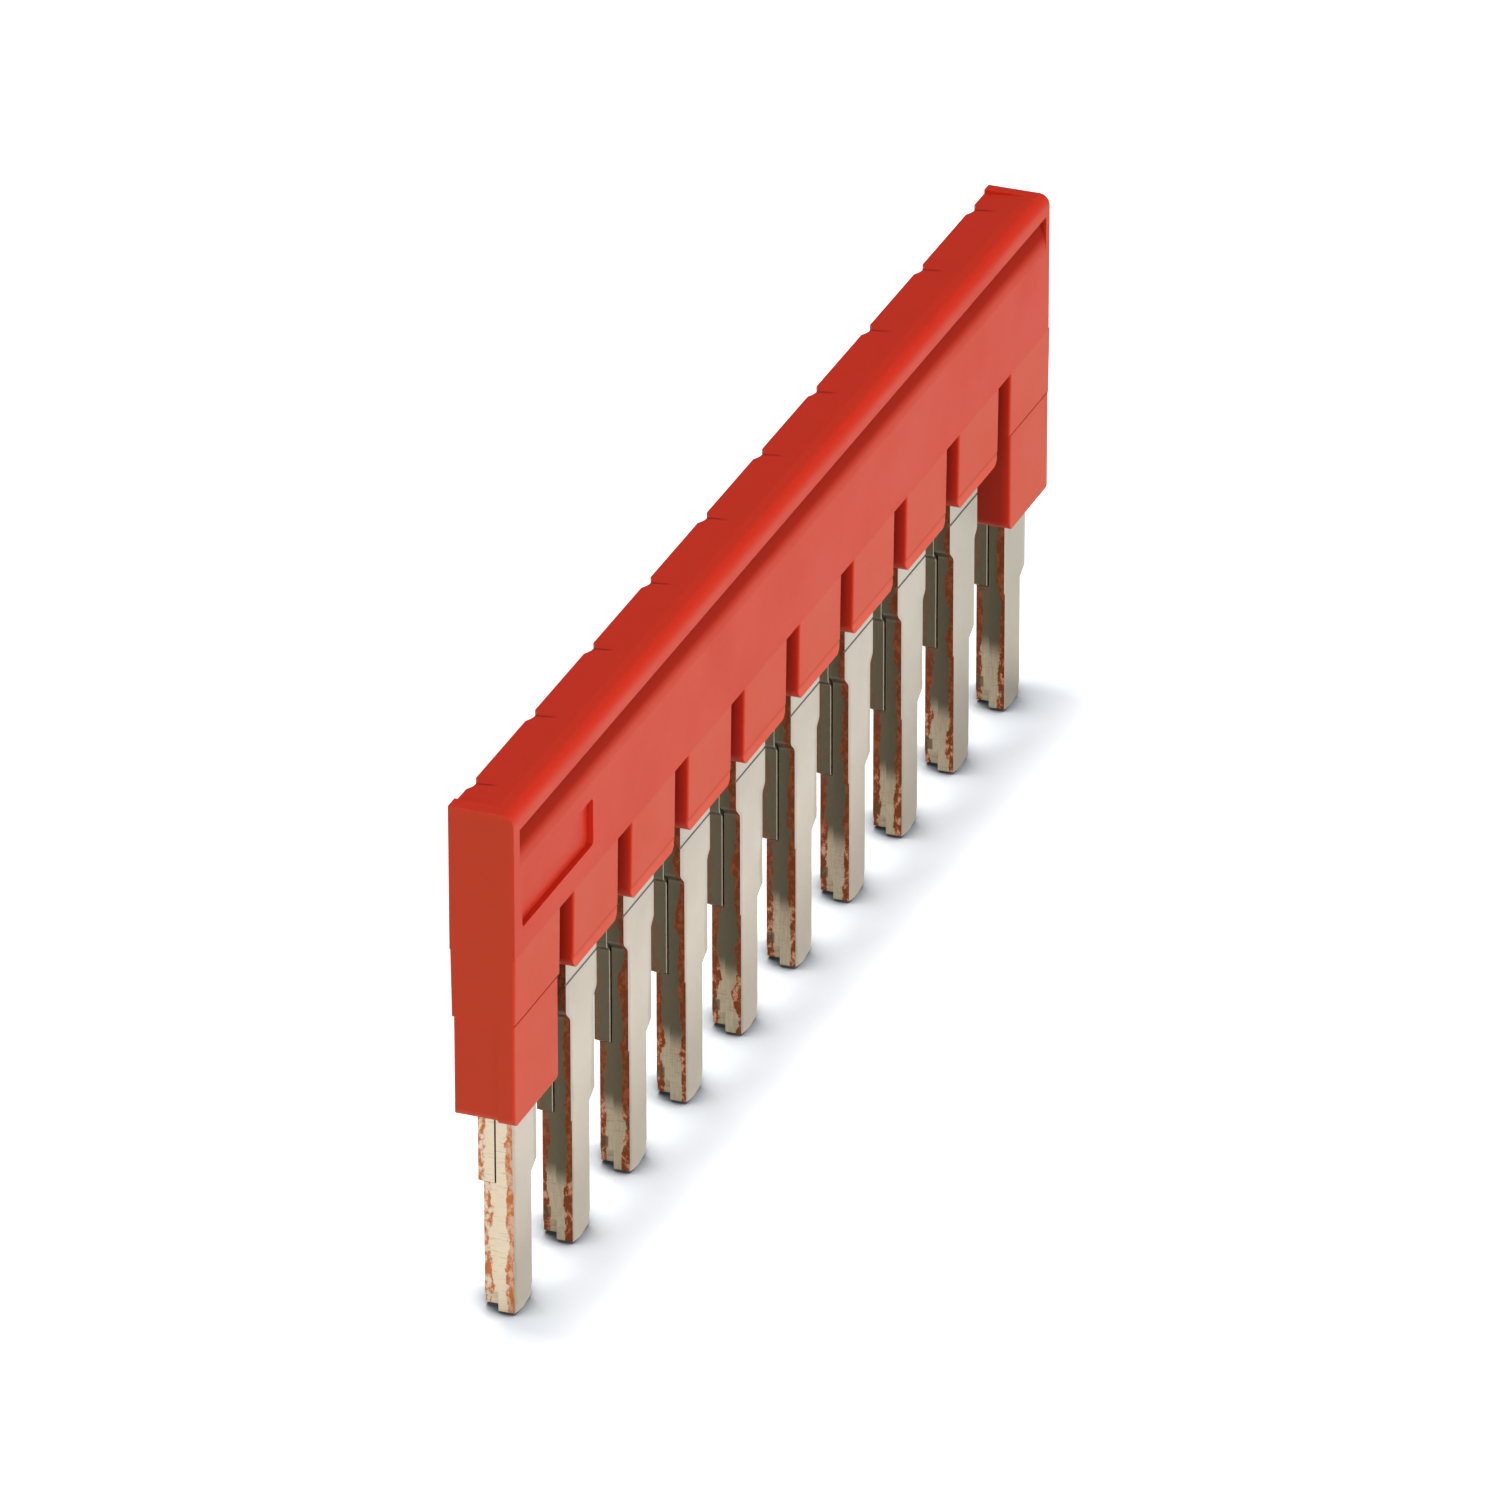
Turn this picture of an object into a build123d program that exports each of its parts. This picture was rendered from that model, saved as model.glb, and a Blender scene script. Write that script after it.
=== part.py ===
"""Ten-pole plug-in jumper for terminal blocks.

A red moulded housing holds two stamped copper combs back to back. Ten tinned legs, one for
each terminal block, stand out below it. X runs along the row, Y through the thickness with
the gripped face towards -Y, and Z upwards from the tips of the legs. The origin lies under
the middle of the row, on the plane between the two combs.
"""
import os

from build123d import *

os.makedirs("parts", exist_ok=True)

# The row
POLES = 10
PITCH = 6.2

# Housing: heights, each measured from the level named before it
LEG_REACH = 13.0            # tips up to the bottoms of the inner tabs
TAB_LENGTH = 3.6            # inner tab bottoms up to the slot roofs
BODY_HEIGHT = 6.25          # slot roofs up to the top of the housing
FOOT_DROP = 3.88            # the two end feet below the inner tabs
SHOE_LAND = 0.05            # upright part of an inner tab's stepped-in shoe, over the lead-in

# Housing: plan
HOUSING_THICKNESS = 2.74
TAB_WIDTH = 4.78
END_OVERHANG = 2.4          # end leg centre to end face
TAB_TAPER = 0.04            # how far each broad face of a tab leans in over its height
SHOE_STEP_FACE = 0.02       # how far the shoe is set back on the broad faces
SHOE_STEP_SIDE = 0.17       # how far it is set back on the sides that are relieved
SHOE_ROOT = 1.0             # how far the shoe's walls run up inside the tab
SHOE_WALL = 0.75            # the two outer layers of a shoe
LEAD_RADIUS = 0.6           # lower corners of an inner tab
FOOT_RADIUS = 0.42          # lower corners of an end foot

# Housing: edges
END_EDGE_RADIUS = 0.22
TOP_EDGE_RADIUS = 0.5       # along the gripped face; the back edge is sharp
TAB_EDGE_RADIUS = 0.1
SHOE_EDGE_RADIUS = 0.1

# Top: slopes down towards the back, between a level lip at each end
TOP_FALL = 0.18
TOP_FALL_START = 0.45       # in front of the middle
LIP_LENGTH = 0.7

# Finger grip under the top rim, on the -Y face
RIM_HEIGHT = 0.85
GRIP_DEPTH = 0.5
GRIP_HEIGHT = 1.6
GRIP_END_WALL = 0.6

# Shallow marking panel, left bare, on the -Y face
PANEL_WIDTH = 7.5
PANEL_HEIGHT = 2.05
PANEL_DEPTH = 0.25
PANEL_INSET = 0.8           # from the -X end face
PANEL_RISE = 1.05           # above the slot roofs
PANEL_CORNER = 0.2

# Flutes down the back, one behind each leg
FLUTE_WIDTH = 1.0
FLUTE_DEPTH = 0.2
FLUTE_LENGTH = 2.4

# Combs: stamped sheet, both alike
SHEET = 0.69
SHEET_GAP = 0.06
SPINE_HEIGHT = 2.8
SPINE_RISE = 0.6            # slot roofs up to the lower edge of the spine
NECK_LEFT = 1.7             # widths of a leg are given from its own centre line
NECK_RIGHT = 1.58
NECK_DROP_LEFT = 2.35       # inner tab bottoms down to where the neck narrows
NECK_DROP_RIGHT = 2.65
NECK_SLOPE_LEFT = 0.45      # height over which it narrows
NECK_SLOPE_RIGHT = 0.3
NECK_RADIUS = 0.3           # where a neck narrows
BLADE_LEFT = 1.25
BLADE_RIGHT = 1.27
TIP_LEFT = 1.15
TIP_RIGHT = 0.7
SHOULDER_LEVEL = 5.93       # above the tips
SHOULDER_DROP = 0.36
NICK_LEVEL = 5.63
LEAD_IN_LEVEL = 0.72        # slight lead-in on the narrow side of the tip
LEAD_IN_FOOT = 0.37
LEAD_IN_DEPTH = 0.09
TIP_BOW = 0.13
SNAP_LINE_LEVEL = 1.05      # below the inner tabs, where a leg can be broken off
SNAP_LINE_DEPTH = 0.06

# Fit of the combs in the plastic moulded round them
EDGE_CLEARANCE = 0.02       # round the cut edges; the broad faces bear on the plastic

# Levels and places that follow from the sizes
TAB_BOTTOM = LEG_REACH
SLOT_ROOF = TAB_BOTTOM + TAB_LENGTH
TOP = SLOT_ROOF + BODY_HEIGHT
SHOE_TOP = TAB_BOTTOM + LEAD_RADIUS + SHOE_LAND
FOOT_BOTTOM = TAB_BOTTOM - FOOT_DROP
HALF_THICKNESS = HOUSING_THICKNESS / 2
HALF_SHOE = HALF_THICKNESS - TAB_TAPER - SHOE_STEP_FACE
HALF_CORE = HALF_SHOE - SHOE_WALL
HALF_TAB = TAB_WIDTH / 2
ROW_LENGTH = PITCH * (POLES - 1)
HOUSING_LENGTH = ROW_LENGTH + 2 * END_OVERHANG
COMB_FACE = SHEET + SHEET_GAP / 2
LEG_CENTRES = [PITCH * k - ROW_LENGTH / 2 for k in range(POLES)]


def half_turn(shape):
    """The same shape turned round to the other side of the jumper."""
    return shape.rotate(Axis.Z, 180)


def along_y(sketch, start, depth):
    """A sketch of the front view, made solid from Y = start over depth towards +Y."""
    return Pos(0, start, 0) * extrude(Plane.XZ * sketch, amount=-depth)


def along_x(section, half_length):
    """A section seen from the end, made solid to both sides of the middle."""
    return extrude(Plane.YZ * section, amount=half_length, both=True)


def leg_outline():
    """Front view of one leg of the -Y comb, from inside the housing down to its tip."""
    neck_left = TAB_BOTTOM - NECK_DROP_LEFT
    neck_right = TAB_BOTTOM - NECK_DROP_RIGHT
    shoulder_foot = SHOULDER_LEVEL - SHOULDER_DROP
    spine_bottom = SLOT_ROOF + SPINE_RISE
    tip_right = TIP_RIGHT - LEAD_IN_DEPTH
    with BuildSketch() as sketch:
        with BuildLine():
            left = Polyline(
                (-NECK_LEFT, spine_bottom),
                (-NECK_LEFT, neck_left),
                (-BLADE_LEFT, neck_left - NECK_SLOPE_LEFT),
                (-BLADE_LEFT, NICK_LEVEL),
                (-TIP_LEFT, NICK_LEVEL),
                (-TIP_LEFT, TIP_BOW),
            )
            tip = ThreePointArc(left @ 1, ((tip_right - TIP_LEFT) / 2, 0), (tip_right, TIP_BOW))
            right = Polyline(
                tip @ 1,
                (tip_right, LEAD_IN_FOOT),
                (TIP_RIGHT, LEAD_IN_LEVEL),
                (TIP_RIGHT, shoulder_foot),
                (BLADE_RIGHT, SHOULDER_LEVEL),
                (BLADE_RIGHT, neck_right - NECK_SLOPE_RIGHT),
                (NECK_RIGHT, neck_right),
                (NECK_RIGHT, spine_bottom),
            )
            Line(right @ 1, left @ 0)
        make_face()
        necks = [
            corner for corner in vertices()
            if neck_right - NECK_SLOPE_RIGHT - NECK_RADIUS < corner.Y < neck_left + NECK_RADIUS
        ]
        fillet(necks, NECK_RADIUS)
    return sketch.sketch


def comb_outline():
    """Front view of the -Y comb: the hidden spine and its row of legs."""
    width = ROW_LENGTH + NECK_LEFT + NECK_RIGHT
    middle = (NECK_RIGHT - NECK_LEFT) / 2
    level = SLOT_ROOF + SPINE_RISE + SPINE_HEIGHT / 2
    outline = Pos(middle, level) * Rectangle(width, SPINE_HEIGHT)
    leg = leg_outline()
    for centre in LEG_CENTRES:
        outline += Pos(centre, 0) * leg
    return outline


def snap_line():
    """The scored line across the outer face of the -Y comb's legs."""
    level = TAB_BOTTOM - SNAP_LINE_LEVEL
    vee = Polygon(
        (-COMB_FACE, level - SNAP_LINE_DEPTH),
        (-COMB_FACE, level + SNAP_LINE_DEPTH),
        (-COMB_FACE + SNAP_LINE_DEPTH, level),
        align=None,
    )
    return along_x(vee, HOUSING_LENGTH / 2)


def make_comb():
    """The -Y comb; the other one is the same stamping turned round."""
    sheet = along_y(comb_outline(), -COMB_FACE, SHEET)
    return sheet - snap_line()


def comb_pocket():
    """The space that both combs fill in the moulding."""
    outline = offset(comb_outline(), amount=EDGE_CLEARANCE, kind=Kind.INTERSECTION)
    front = along_y(outline, -COMB_FACE, COMB_FACE)
    return front + half_turn(front)


def tab(left, right):
    """The part of a tab that leans in, from the slot roofs down to its shoe."""
    half_foot = HALF_THICKNESS - TAB_TAPER
    side = Polygon(
        (-HALF_THICKNESS, SLOT_ROOF),
        (HALF_THICKNESS, SLOT_ROOF),
        (half_foot, SHOE_TOP),
        (-half_foot, SHOE_TOP),
        align=None,
    )
    block = Pos((right - left) / 2, 0, 0) * along_x(side, (left + right) / 2)
    uprights = [edge for edge in block.edges() if abs(edge.tangent_at(0.5).Z) > 0.9]
    return fillet(uprights, TAB_EDGE_RADIUS)


def shoe(low, high, bottom, corner_radius):
    """The set-back lower part of a tab between two X positions."""
    root = SHOE_TOP + SHOE_ROOT
    middle = (low + high) / 2
    level = (bottom + root) / 2
    outline = Pos(middle, level) * Rectangle(high - low, root - bottom)
    outline = fillet(outline.vertices().sort_by(Axis.Y)[:2], corner_radius)
    section = Pos(0, level) * Rectangle(2 * HALF_SHOE, root - bottom)
    section = fillet(section.vertices().sort_by(Axis.Y)[:2], SHOE_EDGE_RADIUS)
    plan = Pos(middle, 0) * RectangleRounded(high - low, 2 * HALF_SHOE, SHOE_EDGE_RADIUS)
    upright = Pos(0, 0, bottom) * extrude(plan, amount=root - bottom)
    return upright & along_y(outline, -HALF_SHOE, 2 * HALF_SHOE) & along_x(section, HOUSING_LENGTH)


def inner_tab():
    """One of the tabs between the feet. The middle layer of its shoe is narrower."""
    core_height = SHOE_TOP - TAB_BOTTOM
    relief = Box(2 * SHOE_STEP_SIDE, 2 * HALF_CORE, core_height)
    level = TAB_BOTTOM + core_height / 2
    lower = shoe(-HALF_TAB, HALF_TAB, TAB_BOTTOM, LEAD_RADIUS)
    lower -= [Pos(side * HALF_TAB, 0, level) * relief for side in (-1, 1)]
    return tab(HALF_TAB, HALF_TAB) + lower


def end_foot():
    """The long foot round the leg at the -X end. Its gripped side is flush with the end face."""
    high = HALF_TAB - SHOE_STEP_SIDE
    flush = shoe(-END_OVERHANG, high, FOOT_BOTTOM, FOOT_RADIUS)
    flush = split(flush, bisect_by=Plane.XZ.offset(HALF_CORE), keep=Keep.TOP)
    set_back = shoe(SHOE_STEP_SIDE - END_OVERHANG, high, FOOT_BOTTOM, FOOT_RADIUS)
    return tab(END_OVERHANG, HALF_TAB) + set_back + flush


def grip_cut():
    """The hollow under the rim that a finger or a screwdriver pulls on."""
    ceiling = TOP - RIM_HEIGHT
    floor = ceiling - GRIP_HEIGHT
    clear = -HALF_THICKNESS - GRIP_DEPTH
    with BuildSketch() as section:
        with BuildLine():
            hollow = TangentArc(
                (-HALF_THICKNESS, floor),
                (GRIP_DEPTH - HALF_THICKNESS, ceiling),
                tangent=(0, 1),
            )
            Polyline(hollow @ 1, (clear, ceiling), (clear, floor), hollow @ 0)
        make_face()
    return along_x(section.sketch, HOUSING_LENGTH / 2 - GRIP_END_WALL)


def top_cut():
    """The wedge that lets the top fall away between the two lips."""
    wedge = Polygon(
        (-TOP_FALL_START, TOP),
        (HALF_THICKNESS, TOP - TOP_FALL),
        (HALF_THICKNESS, TOP),
        align=None,
    )
    return along_x(wedge, HOUSING_LENGTH / 2 - LIP_LENGTH)


def panel_cut():
    """The shallow recess for a marking."""
    centre_x = -HOUSING_LENGTH / 2 + PANEL_INSET + PANEL_WIDTH / 2
    centre_z = SLOT_ROOF + PANEL_RISE + PANEL_HEIGHT / 2
    panel = Pos(centre_x, centre_z) * RectangleRounded(PANEL_WIDTH, PANEL_HEIGHT, PANEL_CORNER)
    return along_y(panel, -HALF_THICKNESS, PANEL_DEPTH)


def flute_cuts():
    """Short round flutes from the top down the back."""
    radius = (FLUTE_WIDTH ** 2 / 4 + FLUTE_DEPTH ** 2) / (2 * FLUTE_DEPTH)
    axis_y = HALF_THICKNESS + radius - FLUTE_DEPTH
    flute = Pos(0, axis_y, TOP - FLUTE_LENGTH / 2) * Cylinder(radius, FLUTE_LENGTH)
    return [Pos(centre, 0, 0) * flute for centre in LEG_CENTRES]


def make_housing():
    """The moulded housing with its pocket for the combs."""
    section = Pos(0, SLOT_ROOF + BODY_HEIGHT / 2) * Rectangle(HOUSING_THICKNESS, BODY_HEIGHT)
    gripped_corner = section.vertices().sort_by(Axis.Y)[2:].sort_by(Axis.X)[0]
    body = along_x(fillet(gripped_corner, TOP_EDGE_RADIUS), HOUSING_LENGTH / 2)
    for end in body.faces().sort_by(Axis.X)[0::len(body.faces()) - 1]:
        body = fillet(end.edges().sort_by(Axis.Z)[1:], END_EDGE_RADIUS)
    body -= [top_cut(), grip_cut(), panel_cut()] + flute_cuts()
    foot = Pos(LEG_CENTRES[0], 0, 0) * end_foot()
    body += foot + mirror(foot, about=Plane.YZ)
    middle_tab = inner_tab()
    for centre in LEG_CENTRES[1:-1]:
        body += Pos(centre, 0, 0) * middle_tab
    return body - comb_pocket()


front_comb = make_comb()
rear_comb = half_turn(front_comb)
housing = make_housing()

export_step(housing, "parts/housing.step")
export_step(front_comb, "parts/front_comb.step")
export_step(rear_comb, "parts/rear_comb.step")
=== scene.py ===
"""Finishes and studio for a ten-pole terminal block jumper.

The housing is moulded in red polyamide, which lets a little light into its edges. The two
combs are stamped from tinned copper: tin on the broad faces, bare copper along the cuts.
"""

import math

import bmesh
import bpy
from bpy.props import FloatProperty, FloatVectorProperty, PointerProperty
from mathutils import Matrix, Vector


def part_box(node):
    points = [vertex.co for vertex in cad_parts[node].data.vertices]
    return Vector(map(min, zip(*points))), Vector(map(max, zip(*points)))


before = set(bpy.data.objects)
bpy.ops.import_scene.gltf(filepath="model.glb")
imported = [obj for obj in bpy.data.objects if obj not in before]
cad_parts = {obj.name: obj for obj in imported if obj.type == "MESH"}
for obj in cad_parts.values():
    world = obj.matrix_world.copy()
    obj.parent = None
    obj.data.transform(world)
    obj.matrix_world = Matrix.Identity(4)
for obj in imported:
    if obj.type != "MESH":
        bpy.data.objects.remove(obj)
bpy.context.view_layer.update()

bl_info = {
    "name": "Terminal Block Jumper",
    "version": (1, 0, 0),
    "blender": (4, 5, 0),
    "location": "3D View > Sidebar > Jumper",
    "description": "Finishes the housing and combs of a plug-in jumper and sets up its studio",
    "category": "Object",
}

MM = 0.001

# Places on the housing, in millimetres. Of each pair, a finish starts at the first place and
# is full at the second.
HOUSING_LOW, HOUSING_HIGH = (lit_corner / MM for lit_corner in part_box("housing"))
ROW_PITCH = 6.2
POLES = 10
FIRST_LEG = -ROW_PITCH * (POLES - 1) / 2
SLOT_ROOF = 16.6
BELOW_ROOF = (SLOT_ROOF + 0.05, SLOT_ROOF - 0.05)
SLOT_DEPTH = (0.1, 0.6)
WITHIN_SLOTS = (29.0, 28.8)
SHOE_TOP = 13.65
STEP_LINE_WIDTH = (0.03, 0.07)
TAB_EDGE = (SHOE_TOP - 0.10, SHOE_TOP - 0.25)
ABOVE_SHOES = (SHOE_TOP, SHOE_TOP + 0.1)
GRIP_FLOOR = 20.4
ABOVE_FLOOR = (GRIP_FLOOR, GRIP_FLOOR + 0.1)
GRIP_TOP = 22.0
UNDER_RIM = (GRIP_TOP + 0.01, GRIP_TOP - 0.01)
GRIP_END = 29.7
WITHIN_GRIP = (GRIP_END + 0.02, GRIP_END - 0.02)
GRIP_SHADE = (-0.01, 0.15)
GRIP_FADE = (0.8, 0.7)
FOOT_INSIDE = 25.3
ON_FOOT = (FOOT_INSIDE, FOOT_INSIDE + 0.1)
END_FACE = (HOUSING_HIGH.x - 0.4, HOUSING_HIGH.x - 0.2)
END_CORNER = (HOUSING_HIGH.x - 0.5, HOUSING_HIGH.x - 0.4)
TOP_GROOVE_WIDTH = (0.03, 0.11)
TOP_GROOVE_REACH = (0.1, 0.7)

# Places on the legs, in the same way
LEG_BORDER = (0.88, 1.10)
SHOULDER_RISE = (10.1, 10.6)
SHOULDER_STEP = 0.36
SHADED_ROW = (4.0, 28.0)
SHADED_TOP = (7.0, 13.0)
WORN_BELOW = (9.0, 1.0)
TIPS_BELOW = (3.4, 2.4)
REAR_SHEET = (0.0, 0.1)
COVERED_ABOVE = (4.5, 6.5)
BARE_FROM = (0.43, 0.47)
OUTER_EDGE = (FIRST_LEG - 0.4, FIRST_LEG - 0.5)
GLINT_PLACE = 0.055
GLINT_WIDTH = (0.010, 0.030)
GLINT_ABOVE = (5.2, 5.5)
PUNCH_BOTTOM = (0.75, 0.85)
PUNCH_TOP = (1.35, 1.25)
PUNCH_INSIDE = (0.36, 0.40)

# How squarely a surface faces one way, where a finish starts and where it is full
FACING_SIDE = (0.6, 0.8)
FACING_END = (0.7, 0.9)
FACING_UP = (0.8, 0.9)
FACING_ABOVE_CORNER = (0.2, 0.5)
FACING_CUT = (0.35, 0.65)
FACING_NEAR_END = (-0.5, -0.8)

# The plastic's and the metal's own values: the relief's strength and depth come last
PLASTIC_IOR = 1.38
PLASTIC_SCATTER = (1.0, 0.12, 0.06)
PLASTIC_RELIEF = (0.18, 0.03 * MM)
TIN_METALLIC = 0.96
TIN_RELIEF = (0.25, 0.02 * MM)

# Each lamp's place, width and height, in metres
LAMP_COLOUR = (1.0, 0.96, 0.86)
LAMP_AIM = Vector((0, 0, 11 * MM))
FRONT_LAMP = (Vector((0.10, -0.45, 0.18)), 0.40, 0.30)
END_LAMP = (Vector((-0.46, -0.12, 0.16)), 0.30, 0.25)
TOP_LAMP = (Vector((0.02, 0.07, 0.49)), 0.14, 0.10)

# The floor's colour as it lights the part, as a mirror shows it, and as the camera sees it beside a
# leg, with painted contact shade, and further away
FLOOR_SIZE = 3.0
FLOOR_TONE = (0.6, 0.6, 0.6)
FLOOR_MIRRORED = (1.45, 1.42, 1.34)
FLOOR_CONTACT_SHADE = (0.17, 0.21, 0.26)
FLOOR_SEEN = (1.62, 1.72, 1.90)
CONTACT_REACH = 2.6 * MM
CONTACT_SHARE = (0.35, 0.98)

CAMERA_AIM = Vector((-0.57, 0.30, 11.17)) * MM
SENSOR_WIDTH = 36
NEAR_CLIP = 0.01


class Value:
    """A number in a node tree. Arithmetic on it adds Math nodes."""

    def __init__(self, nodes, socket):
        self.nodes = nodes
        self.socket = socket

    def math(self, operation, *operands):
        settings = {"operation": operation}
        node = self.nodes.add("ShaderNodeMath", settings, dict(enumerate(operands)))
        return Value(self.nodes, node.outputs[0])

    def __add__(self, other):
        return self.math("ADD", self, other)

    def __sub__(self, other):
        return self.math("SUBTRACT", self, other)

    def __mul__(self, other):
        return self.math("MULTIPLY", self, other)

    def __truediv__(self, other):
        return self.math("DIVIDE", self, other)

    def __radd__(self, other):
        return self.math("ADD", other, self)

    def __rsub__(self, other):
        return self.math("SUBTRACT", other, self)

    def __rmul__(self, other):
        return self.math("MULTIPLY", other, self)

    def __abs__(self):
        return self.math("ABSOLUTE", self)

    def floor(self):
        return self.math("FLOOR", self)

    def maximum(self, other):
        return self.math("MAXIMUM", self, other)

    def ramp(self, low, high):
        """0 at low, 1 at high, with a soft start and end. It falls where low is the greater."""
        settings = {"interpolation_type": "SMOOTHSTEP"}
        inputs = {"Value": self, "From Min": low, "From Max": high}
        node = self.nodes.add("ShaderNodeMapRange", settings, inputs)
        return Value(self.nodes, node.outputs["Result"])


class Nodes:
    """The node tree of one material or of the world."""

    def __init__(self, owner):
        owner.use_nodes = True
        self.tree = owner.node_tree
        self.tree.nodes.clear()

    def add(self, kind, settings=None, inputs=None):
        """One node: its settings are set first, and then its sockets are given or linked."""
        node = self.tree.nodes.new(kind)
        for name, setting in (settings or {}).items():
            setattr(node, name, setting)
        for name, given in (inputs or {}).items():
            source = given.socket if isinstance(given, Value) else given
            if isinstance(source, bpy.types.NodeSocket):
                self.tree.links.new(source, node.inputs[name])
            else:
                node.inputs[name].default_value = source
        return node

    def value(self, node, output):
        return Value(self, node.outputs[output])

    def place(self):
        """Where a point lies on the part, in millimetres: the vector, then x, y and z."""
        coordinates = self.add("ShaderNodeTexCoord")
        inputs = {0: coordinates.outputs["Object"], "Scale": 1 / MM}
        scaled = self.add("ShaderNodeVectorMath", {"operation": "SCALE"}, inputs)
        split = self.add("ShaderNodeSeparateXYZ", None, {0: scaled.outputs[0]})
        return scaled.outputs[0], *(self.value(split, axis) for axis in "XYZ")

    def facing(self):
        """The surface's own direction, as x, y and z."""
        coordinates = self.add("ShaderNodeTexCoord")
        split = self.add("ShaderNodeSeparateXYZ", None, {0: coordinates.outputs["Normal"]})
        return tuple(self.value(split, axis) for axis in "XYZ")

    def noise(self, vector, scale, detail=3.0, roughness=0.55, stretch=None):
        if stretch:
            inputs = {0: vector, 1: stretch}
            vector = self.add("ShaderNodeVectorMath", {"operation": "MULTIPLY"}, inputs).outputs[0]
        inputs = {"Vector": vector, "Scale": scale, "Detail": detail, "Roughness": roughness}
        return self.value(self.add("ShaderNodeTexNoise", None, inputs), 0)

    def mix(self, factor, first, second):
        """A colour between two colours."""
        inputs = {0: factor, 6: self.colour(first), 7: self.colour(second)}
        return self.add("ShaderNodeMix", {"data_type": "RGBA"}, inputs).outputs[2]

    def colour(self, given):
        return given if isinstance(given, bpy.types.NodeSocket) else (*given[:3], 1)

    def bump(self, height, strength, depth):
        inputs = {"Height": height, "Strength": strength, "Distance": depth}
        return self.add("ShaderNodeBump", None, inputs).outputs[0]

    def diffuse(self, colour):
        return self.add("ShaderNodeBsdfDiffuse", None, {"Color": self.colour(colour)}).outputs[0]

    def blend(self, share, first, second):
        """A surface between two surfaces."""
        return self.add("ShaderNodeMixShader", None, {0: share, 1: first, 2: second}).outputs[0]

    def surface(self, inputs):
        shader = self.add("ShaderNodeBsdfPrincipled", None, inputs)
        self.add("ShaderNodeOutputMaterial", None, {"Surface": shader.outputs[0]})


def distance_from_leg(x):
    """How far a point lies along the row from the nearest leg's middle."""
    cell = (x - FIRST_LEG) / ROW_PITCH + 0.5
    return abs(cell - cell.floor() - 0.5) * ROW_PITCH


def darker(colour, share):
    return [channel * share for channel in colour]


def tint(name, description, default):
    """A colour that the sidebar shows."""
    return FloatVectorProperty(
        name=name, description=description, subtype="COLOR", size=3, min=0, max=1, default=default,
    )


def fraction(name, description, default):
    """A number from 0 to 1 that the sidebar shows."""
    return FloatProperty(name=name, description=description, default=default, min=0, max=1)


class HousingFinish(bpy.types.PropertyGroup):
    """Moulded red polyamide."""

    colour: tint("Plastic", "Colour of the housing", (0.60, 0.024, 0.008))
    # Paler colour for the thin tab walls, also painted as sheen on the end faces
    thin_wall_and_sheen_colour: tint("Thin walls", "Colour where the wall is thin over the metal",
                      (0.60, 0.046, 0.018))
    # Colour of the painted shade in the slots, the shadow lines and the finger grip
    shade_colour: tint("Seams", "Colour in the witness lines of the mould", (0.24, 0.006, 0.003))
    # Colour of the painted highlights on the lit edges
    edge_highlight_colour: tint("Edges", "Colour along the lower edges of the tabs and the end corners",
                      (0.80, 0.055, 0.022))
    sheen_colour: tint("Sheen", "Tint of the reflections in the skin", (1.0, 0.84, 0.60))
    roughness: fraction("Roughness", "Roughness of the moulded skin", 0.5)
    glow: fraction("Glow", "How much light passes under the skin", 0.35)
    glow_depth: FloatProperty(
        name="Glow depth", description="How far light passes under the skin", default=0.6 * MM,
        min=0, unit="LENGTH",
    )


class CombFinish(bpy.types.PropertyGroup):
    """Stamped tinned copper."""

    tin: tint("Tin", "Colour of the tinned faces", (0.520, 0.512, 0.500))
    worn_tin: tint("Worn tin", "Colour of the faces towards the tips", (0.54, 0.50, 0.44))
    # Dark colour of the painted shade on the cut edges and the broad faces
    sheared_shade: tint("Sheared tin", "Colour of the tin smeared over the cut edges",
                  (0.105, 0.094, 0.068))
    # Colour of the painted highlights on the outermost edge, its flecks and the glint
    highlight_tin: tint("Bright edge", "Colour of the row's outermost edge", (0.62, 0.55, 0.46))
    copper: tint("Copper", "Colour of the bare copper along the cut edges", (0.18, 0.045, 0.018))
    # Lighter colour of the cut edges near the tips, where their painted shade gives way
    tip_edge: tint("Worn edges", "Colour of the sheared edges near the tips", (0.45, 0.39, 0.31))
    # Colour of the painted dark reflection in the punch facets
    punch_facet_reflection: tint("Punch marks", "Colour of the small marks near the tips", (0.10, 0.060, 0.028))
    # Copper rubbed bright in flecks, also painted as the lit copper of the outermost edge
    lit_rubbed_copper: tint("Bright copper", "Colour of freshly rubbed copper", (0.50, 0.17, 0.065))
    roughness: fraction("Roughness", "Roughness of the tin", 0.36)


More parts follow.
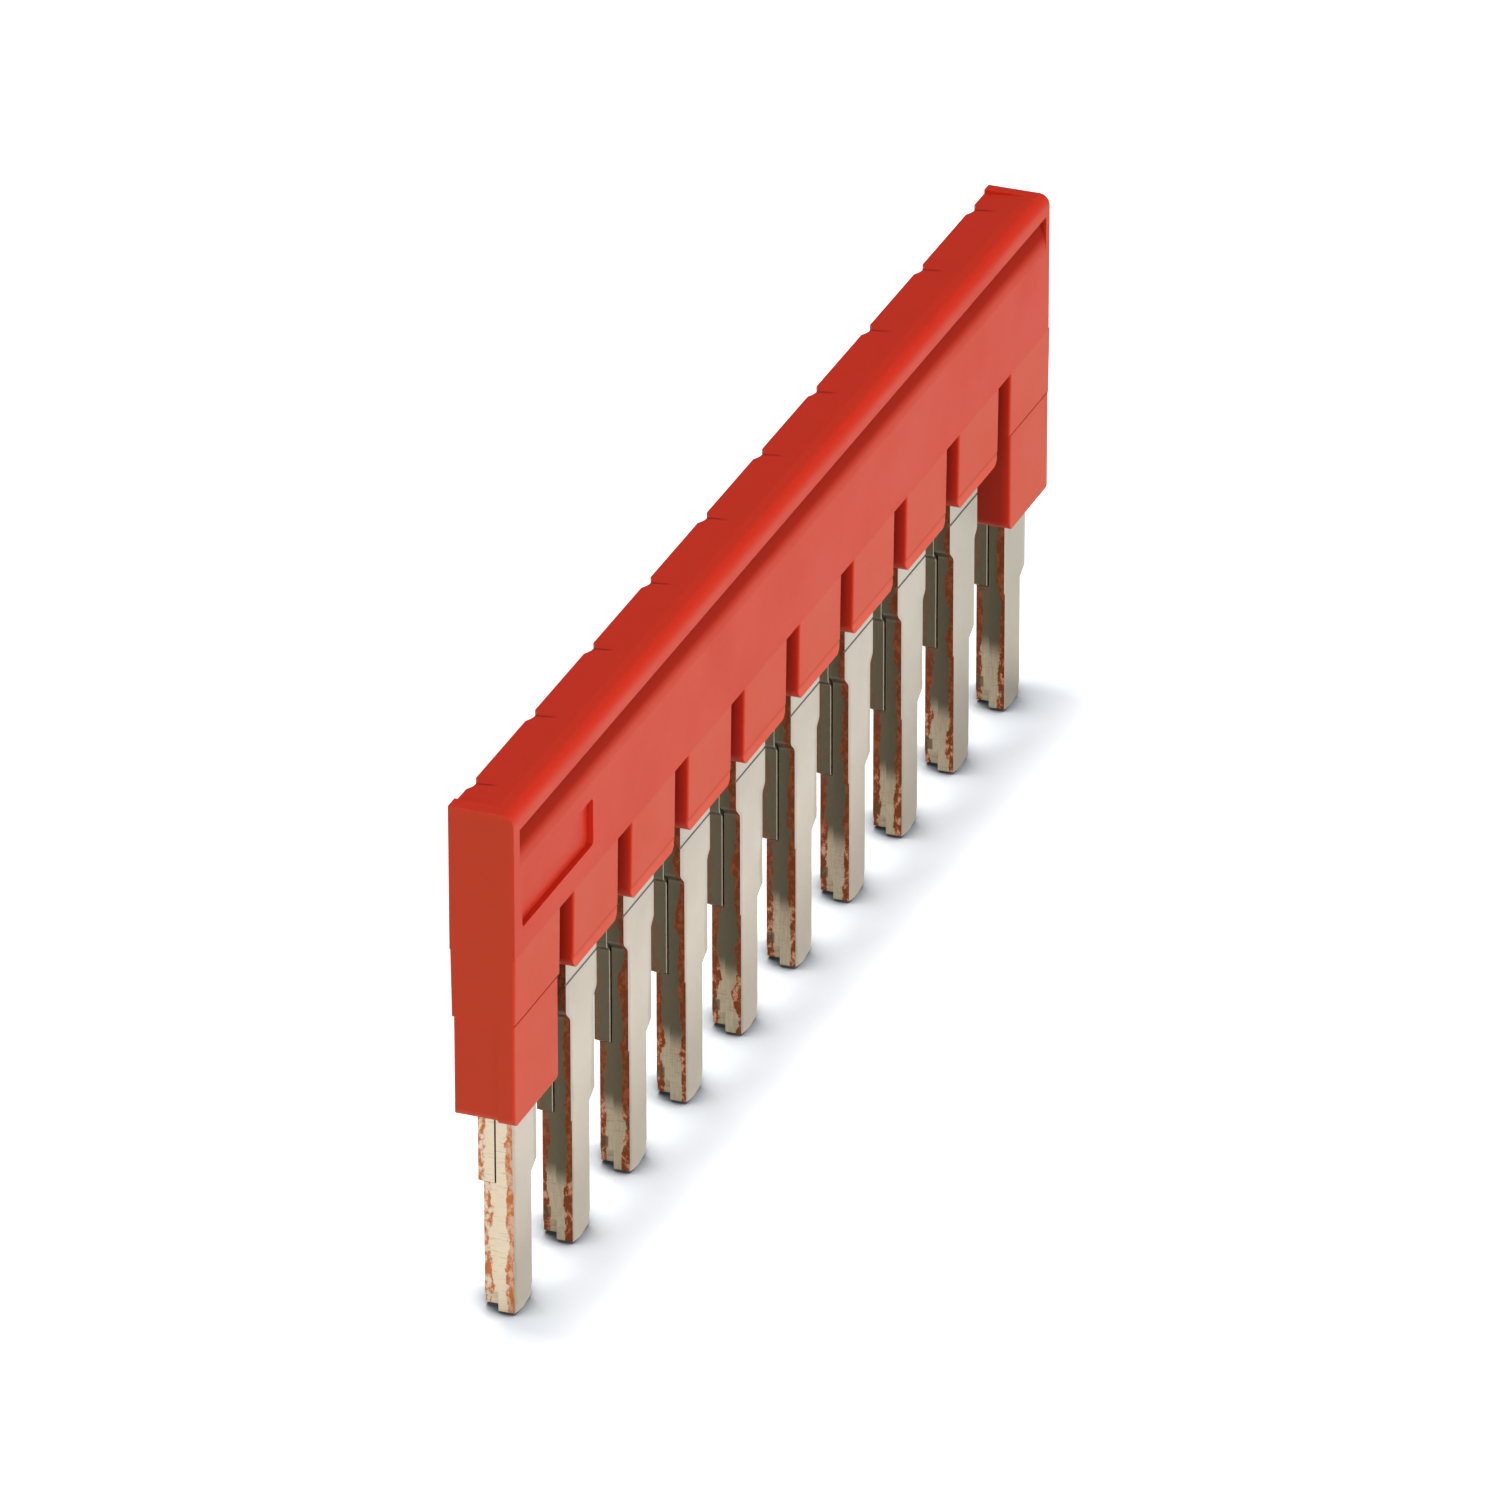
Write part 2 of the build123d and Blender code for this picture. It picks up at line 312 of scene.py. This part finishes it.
class Studio(bpy.types.PropertyGroup):
    """Camera, floor and lamps."""

    azimuth: FloatProperty(
        name="Azimuth", description="Direction the camera looks in, round from +X", subtype="ANGLE",
        default=math.radians(21.04),
    )
    elevation: FloatProperty(
        name="Elevation", description="How far the camera looks down", subtype="ANGLE",
        default=math.radians(27.25),
    )
    roll: FloatProperty(
        name="Roll", description="Turn of the camera about its own axis", subtype="ANGLE",
        default=math.radians(0.065),
    )
    distance: FloatProperty(
        name="Distance", description="Camera to the point it looks at", default=616.6 * MM,
        unit="LENGTH",
    )
    lens: FloatProperty(
        name="Lens", description="Focal length on a 36 mm sensor", default=364.9, unit="CAMERA",
    )
    front_power: FloatProperty(
        name="Front", description="Power of the lamp on the gripped face", default=1.6,
        unit="POWER",
    )
    end_power: FloatProperty(
        name="End", description="Power of the lamp on the near end", default=1.1, unit="POWER",
    )
    top_power: FloatProperty(
        name="Top", description="Power of the lamp overhead", default=1.15, unit="POWER",
    )
    ambient: tint("Ambient", "Light from all round", (0.11, 0.13, 0.15))


def give(node, material):
    """Puts a finish on a carried-over piece."""
    node.data.materials.clear()
    node.data.materials.append(material)


def plastic_material(finish):
    material = bpy.data.materials.new("red polyamide")
    nodes = Nodes(material)
    place, x, y, z = nodes.place()
    facing_x, facing_y, facing_z = nodes.facing()
    broad = abs(facing_y).ramp(*FACING_SIDE)
    ends = abs(facing_x).ramp(*FACING_END)
    depth = y - HOUSING_LOW.y
    below_roof = z.ramp(*BELOW_ROOF)
    foot = abs(x).ramp(*ON_FOOT)

    # Cloudy plastic, paler on the tabs and the end faces, darker in the slots between the tabs; the
    # paleness of the end faces is painted sheen, the darkness in the slots painted shade
    cloud = nodes.noise(place, 0.25, detail=4)
    tone = nodes.mix((cloud - 0.45) * 0.8, finish.colour, darker(finish.colour, 0.82))
    tone = nodes.mix(below_roof * broad, tone, finish.thin_wall_and_sheen_colour)
    # Painted sheen: the end faces take the paler colour
    tone = nodes.mix(ends * abs(x).ramp(*END_FACE), tone, finish.thin_wall_and_sheen_colour)
    # Painted shade deep in the slots between the tabs
    slot_shade = ends * depth.ramp(*SLOT_DEPTH) * below_roof * abs(x).ramp(*WITHIN_SLOTS)
    tone = nodes.mix(slot_shade * 0.5, tone, finish.shade_colour)

    # Painted shadow lines: under the small step at the shoe tops, on the tabs and the feet, and in
    # shallow grooves across the top behind each leg
    shadowed_step = (1 - abs(z - SHOE_TOP).ramp(*STEP_LINE_WIDTH)) * broad * (0.22 + foot * 0.6)
    # Painted shade in shallow grooves across the top behind each leg
    top_groove_shade = 1 - distance_from_leg(x).ramp(*TOP_GROOVE_WIDTH)
    top_groove_shade = top_groove_shade * facing_z.ramp(*FACING_UP) * y.ramp(*TOP_GROOVE_REACH)
    tone = nodes.mix(shadowed_step.maximum(top_groove_shade * 0.8), tone, finish.shade_colour)

    # Painted highlights on the edges that the light shines into
    lit_edge = z.ramp(*TAB_EDGE) * broad * (1 - foot)
    lit_corner = (1 - ends) * (1 - broad) * (1 - facing_z.ramp(*FACING_ABOVE_CORNER))
    lit_corner = lit_corner * z.ramp(*ABOVE_SHOES) * abs(x).ramp(*END_CORNER)
    tone = nodes.mix((lit_edge * 0.5).maximum(lit_corner * 0.8), tone, finish.edge_highlight_colour)

    # Painted shade in the finger grip, darkest under its rim
    grip = z.ramp(*UNDER_RIM) * z.ramp(*ABOVE_FLOOR) * abs(x).ramp(*WITHIN_GRIP)
    hollow_shade = depth.ramp(*GRIP_SHADE) * depth.ramp(*GRIP_FADE) * grip
    tone = nodes.mix(hollow_shade * 0.7, tone, finish.shade_colour)

    grain = nodes.noise(place, 9.0, detail=3)
    flow = nodes.noise(place, 1.2, detail=2, stretch=(0.4, 1.0, 1.6))
    nodes.surface({
        "Base Color": tone,
        "Roughness": finish.roughness + (cloud - 0.5) * 0.16 + (hollow_shade + shadowed_step) * 0.6,
        "Specular Tint": (*finish.sheen_colour, 1),
        "Subsurface Weight": finish.glow,
        "Subsurface Scale": finish.glow_depth,
        "Subsurface Radius": PLASTIC_SCATTER,
        "IOR": PLASTIC_IOR,
        "Normal": nodes.bump(grain * 0.5 + flow * 0.6 - shadowed_step * 0.8, *PLASTIC_RELIEF),
    })
    return material


def tinned_copper_material(finish):
    material = bpy.data.materials.new("tinned copper")
    nodes = Nodes(material)
    place, x, y, z = nodes.place()
    facing_x, facing_y, _ = nodes.facing()
    cut = 1 - abs(facing_y).ramp(*FACING_CUT)
    rear = y.ramp(*REAR_SHEET)
    outer_end = x.ramp(*OUTER_EDGE) * facing_x.ramp(*FACING_NEAR_END)
    inner_cut = 1 - outer_end
    tips = z.ramp(*TIPS_BELOW)

    # The broad faces: patchy tin, worn towards the tips, with painted shade along both borders,
    # further along the row and towards the top
    patches = nodes.noise(place, 0.6, detail=3)
    face = nodes.mix((patches - 0.4) * 0.9, finish.tin, darker(finish.tin, 0.80))
    face = nodes.mix(z.ramp(*WORN_BELOW) * 0.5, face, finish.worn_tin)
    # Painted shade, growing along the row and towards the top
    shade = (x.ramp(*SHADED_ROW) * 0.42).maximum(z.ramp(*SHADED_TOP) * 0.22)
    face = nodes.mix(shade, face, finish.sheared_shade)
    # Painted shade along both borders of each leg
    border_shade = distance_from_leg(x) - z.ramp(*SHOULDER_RISE) * SHOULDER_STEP
    border_shade = (border_shade + (patches - 0.5) * 0.5).ramp(*LEG_BORDER)
    face = nodes.mix(border_shade * 0.7, face, darker(finish.tin, 0.72))

    # The cut edges: painted shade on the sheared tin, lighter near the tips, with a painted
    # highlight on the row's outermost edge, scratched across
    streaks = nodes.noise(place, 3.0, detail=3, stretch=(6.0, 6.0, 0.5))
    scratches = nodes.noise(place, 1.4, detail=3, roughness=0.6, stretch=(1.0, 0.8, 12.0))
    sheared_shade = nodes.mix(
        tips * (0.75 + (streaks - 0.5) * 0.8), finish.sheared_shade, finish.tip_edge)
    # Painted highlight on the row's outermost edge
    sheared_shade = nodes.mix(outer_end, sheared_shade, finish.highlight_tin)
    sheared_shade = nodes.mix(scratches.ramp(0.56, 0.66) * 0.3, sheared_shade, finish.sheared_shade)

    # Ragged bare copper towards the outer faces, rubbed bright in flecks; the copper on the row's
    # outermost edge is painted brighter as lit, and pale flecks there and near the tips are painted
    # highlights
    ragged = nodes.noise(place, 1.0, detail=3, stretch=(1.0, 1.6, 0.7))
    torn = nodes.noise(place, 3.0, detail=3, roughness=0.6, stretch=(1.0, 3.0, 1.4))
    outward = abs(y) - (ragged - 0.5) * 0.8 - (torn - 0.5) * 0.2
    covered = z.ramp(*COVERED_ABOVE) * rear * inner_cut
    bare = cut * outward.ramp(*BARE_FROM) * (1 - covered * 0.75)
    flecks = nodes.noise(place, 3.4, detail=4, roughness=0.7, stretch=(1.0, 1.2, 0.8))
    rubbed_and_lit = flecks.ramp(0.46, 0.62) * (0.3 + tips * 0.5)
    # Painted light on the copper of the row's outermost edge
    rubbed_and_lit = rubbed_and_lit.maximum(outer_end * (0.55 + flecks * 0.6))
    copper = nodes.mix(rubbed_and_lit, finish.copper, finish.lit_rubbed_copper)
    # Painted highlights in pale flecks
    pale_highlight = outer_end * flecks.ramp(0.44, 0.60) * (0.5 + rear * 0.5)
    pale_highlight = pale_highlight.maximum(tips * flecks.ramp(0.52, 0.66) * 0.4)
    copper = nodes.mix(pale_highlight, copper, finish.highlight_tin)
    edge = nodes.mix(bare, sheared_shade, copper)

    # A painted glint beside the gap between the sheets, and a painted dark reflection in a punch
    # facet near each tip behind
    glint = (1 - abs(y - GLINT_PLACE).ramp(*GLINT_WIDTH)) * z.ramp(*GLINT_ABOVE)
    edge = nodes.mix(glint * cut * inner_cut * 0.6, edge, finish.highlight_tin)
    punch_facet_reflection = z.ramp(*PUNCH_TOP) * z.ramp(*PUNCH_BOTTOM) * y.ramp(*PUNCH_INSIDE)
    edge = nodes.mix(punch_facet_reflection * cut * inner_cut * 0.8, edge, finish.punch_facet_reflection)

    nodes.surface({
        "Base Color": nodes.mix(cut, face, edge),
        "Metallic": TIN_METALLIC,
        "Roughness": finish.roughness + (streaks - 0.5) * 0.18 + bare * 0.1,
        "Normal": nodes.bump(streaks * 0.7 + ragged * cut * 0.8, *TIN_RELIEF),
    })
    return material


def make_lamp(name, position, width, height, power):
    """A soft rectangular lamp aimed at the middle of the part."""
    data = bpy.data.lights.new(name, "AREA")
    data.color = LAMP_COLOUR
    data.shape = "RECTANGLE"
    data.size = width
    data.size_y = height
    data.energy = power
    lamp = bpy.data.objects.new(name, data)
    lamp.location = position
    lamp.rotation_mode = "QUATERNION"
    lamp.rotation_quaternion = (LAMP_AIM - position).to_track_quat("-Z", "Y")
    bpy.context.scene.collection.objects.link(lamp)


def make_world(ambient):
    world = bpy.data.worlds.new("studio")
    bpy.context.scene.world = world
    nodes = Nodes(world)
    light = nodes.add("ShaderNodeBackground", None, {"Color": (*ambient, 1)})
    nodes.add("ShaderNodeOutputWorld", None, {"Surface": light.outputs[0]})


def floor_material():
    """Plain paper to the lamps, white to the camera and to mirrors, with soft contact shade."""
    material = bpy.data.materials.new("white floor")
    nodes = Nodes(material)
    path = nodes.add("ShaderNodeLightPath")
    inputs = {"Distance": CONTACT_REACH}
    near = nodes.add("ShaderNodeAmbientOcclusion", {"samples": 16}, inputs)
    clear = nodes.value(near, "AO").ramp(*CONTACT_SHARE)
    seen = nodes.blend(clear, nodes.diffuse(FLOOR_CONTACT_SHADE), nodes.diffuse(FLOOR_SEEN))
    mirrored = nodes.value(path, "Is Glossy Ray").maximum(nodes.value(path, "Is Transmission Ray"))
    paper = nodes.blend(mirrored, nodes.diffuse(FLOOR_TONE), nodes.diffuse(FLOOR_MIRRORED))
    paper = nodes.blend(nodes.value(path, "Is Camera Ray"), paper, seen)
    nodes.add("ShaderNodeOutputMaterial", None, {"Surface": paper})
    return material


def make_floor():
    mesh = bpy.data.meshes.new("floor")
    shape = bmesh.new()
    bmesh.ops.create_grid(shape, x_segments=1, y_segments=1, size=FLOOR_SIZE)
    shape.to_mesh(mesh)
    shape.free()
    mesh.materials.append(floor_material())
    floor = bpy.data.objects.new("floor", mesh)
    bpy.context.scene.collection.objects.link(floor)


def make_camera(studio):
    """The photograph's viewpoint."""
    level = math.cos(studio.elevation)
    forward = Vector((
        math.cos(studio.azimuth) * level,
        math.sin(studio.azimuth) * level,
        -math.sin(studio.elevation),
    ))
    data = bpy.data.cameras.new("camera")
    data.sensor_width = SENSOR_WIDTH
    data.lens = studio.lens
    data.clip_start = NEAR_CLIP
    camera = bpy.data.objects.new("camera", data)
    turn = forward.to_track_quat("-Z", "Y").to_matrix() @ Matrix.Rotation(-studio.roll, 3, "Z")
    place = Matrix.Translation(CAMERA_AIM - forward * studio.distance)
    camera.matrix_world = place @ turn.to_4x4()
    bpy.context.scene.collection.objects.link(camera)
    bpy.context.scene.camera = camera


class JUMPER_OT_housing(bpy.types.Operator):
    """Finish the moulded housing"""

    bl_idname = "jumper.housing"
    bl_label = "Housing"

    def execute(self, context):
        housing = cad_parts["housing"]
        give(housing, plastic_material(context.scene.jumper_housing))
        return {"FINISHED"}


class JUMPER_OT_combs(bpy.types.Operator):
    """Finish the two stamped combs"""

    bl_idname = "jumper.combs"
    bl_label = "Combs"

    def execute(self, context):
        material = tinned_copper_material(context.scene.jumper_combs)
        for name in ("front_comb", "rear_comb"):
            give(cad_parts[name], material)
        return {"FINISHED"}


class JUMPER_OT_stage(bpy.types.Operator):
    """Set up the floor, lamps and camera"""

    bl_idname = "jumper.stage"
    bl_label = "Stage"

    def execute(self, context):
        studio = context.scene.jumper_studio
        make_lamp("front", *FRONT_LAMP, studio.front_power)
        make_lamp("end", *END_LAMP, studio.end_power)
        make_lamp("top", *TOP_LAMP, studio.top_power)
        make_world(studio.ambient)
        make_floor()
        make_camera(studio)
        context.scene.view_settings.view_transform = "Standard"
        return {"FINISHED"}


class JUMPER_PT_sidebar(bpy.types.Panel):
    """Lists the jumper's pieces and their settings"""

    bl_idname = "JUMPER_PT_sidebar"
    bl_label = "Terminal Block Jumper"
    bl_space_type = "VIEW_3D"
    bl_region_type = "UI"
    bl_category = "Jumper"

    def draw(self, context):
        groups = (
            (JUMPER_OT_housing, context.scene.jumper_housing),
            (JUMPER_OT_combs, context.scene.jumper_combs),
            (JUMPER_OT_stage, context.scene.jumper_studio),
        )
        for operator, settings in groups:
            box = self.layout.box()
            box.operator(operator.bl_idname)
            for name in settings.__annotations__:
                box.prop(settings, name)


CLASSES = (
    HousingFinish, CombFinish, Studio,
    JUMPER_OT_housing, JUMPER_OT_combs, JUMPER_OT_stage,
    JUMPER_PT_sidebar,
)


def register():
    for item in CLASSES:
        bpy.utils.register_class(item)
    bpy.types.Scene.jumper_housing = PointerProperty(type=HousingFinish)
    bpy.types.Scene.jumper_combs = PointerProperty(type=CombFinish)
    bpy.types.Scene.jumper_studio = PointerProperty(type=Studio)


def unregister():
    del bpy.types.Scene.jumper_studio
    del bpy.types.Scene.jumper_combs
    del bpy.types.Scene.jumper_housing
    for item in reversed(CLASSES):
        bpy.utils.unregister_class(item)


def main():
    register()
    bpy.ops.jumper.housing()
    bpy.ops.jumper.combs()
    bpy.ops.jumper.stage()


if __name__ == "__main__":
    main()
